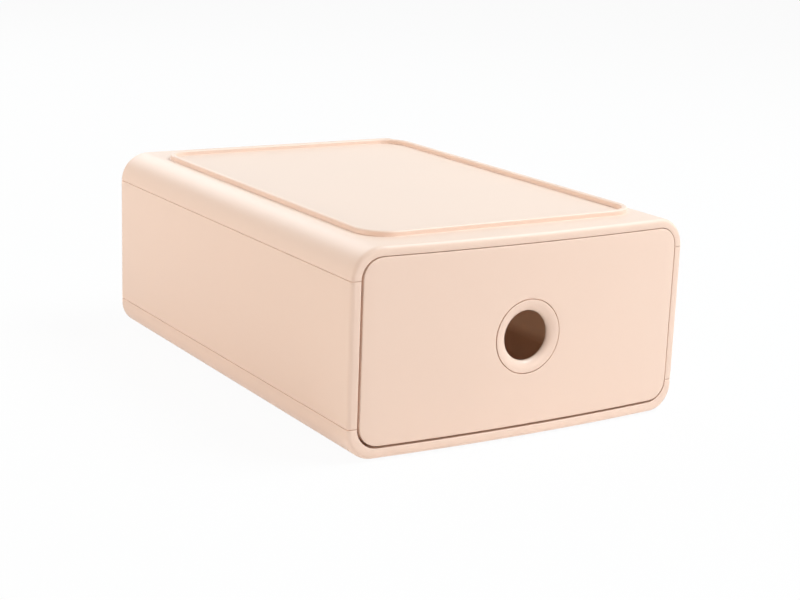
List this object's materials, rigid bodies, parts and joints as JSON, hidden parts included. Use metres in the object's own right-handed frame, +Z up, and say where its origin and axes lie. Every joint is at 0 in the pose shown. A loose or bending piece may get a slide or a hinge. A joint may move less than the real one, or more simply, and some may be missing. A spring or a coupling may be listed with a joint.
{
  "type": "stackable drawer box",
  "caption": "Stackable plastic box with a bowed front, rounded long edges, a raised rim that locates the next box, and a sliding drawer with a finger hole.",
  "frame": {"origin": "on the table under the middle of the case, at the level of the feet's undersides", "axes": "the front and the drawer's way out face -Y, +X is to the right seen from the front, +Z is up"},
  "size_m": [0.18, 0.254, 0.0979],
  "materials": {
    "case": "fine matte moulded",
    "tray": "fine matte moulded",
    "natural": "smooth moulded",
    "rubber": "soft matte",
    "screw": "zinc plated"
  },
  "bodies": {
    "case": {"top_shell": "case", "base_shell": "case", "left_wall": "case", "right_wall": "case", "back_wall": "case", "left_runner": "natural", "right_runner": "natural", "top_screws": "screw", "base_screws": "screw", "foot_front_left": "rubber", "foot_front_right": "rubber", "foot_rear_left": "rubber", "foot_rear_right": "rubber", "left_bumper": "rubber", "right_bumper": "rubber"},
    "drawer": {"drawer_tray": "tray", "drawer_front": "case", "finger_ring": "case", "ring_nut": "natural", "front_screws": "screw", "left_glide": "natural", "right_glide": "natural", "left_stop": "natural", "right_stop": "natural"}
  },
  "joints": [
    {"name": "drawer_slide", "type": "slide", "parent": "case", "child": "drawer", "axis": [0, -1, 0], "range_m": [0, 0.18]}
  ]
}
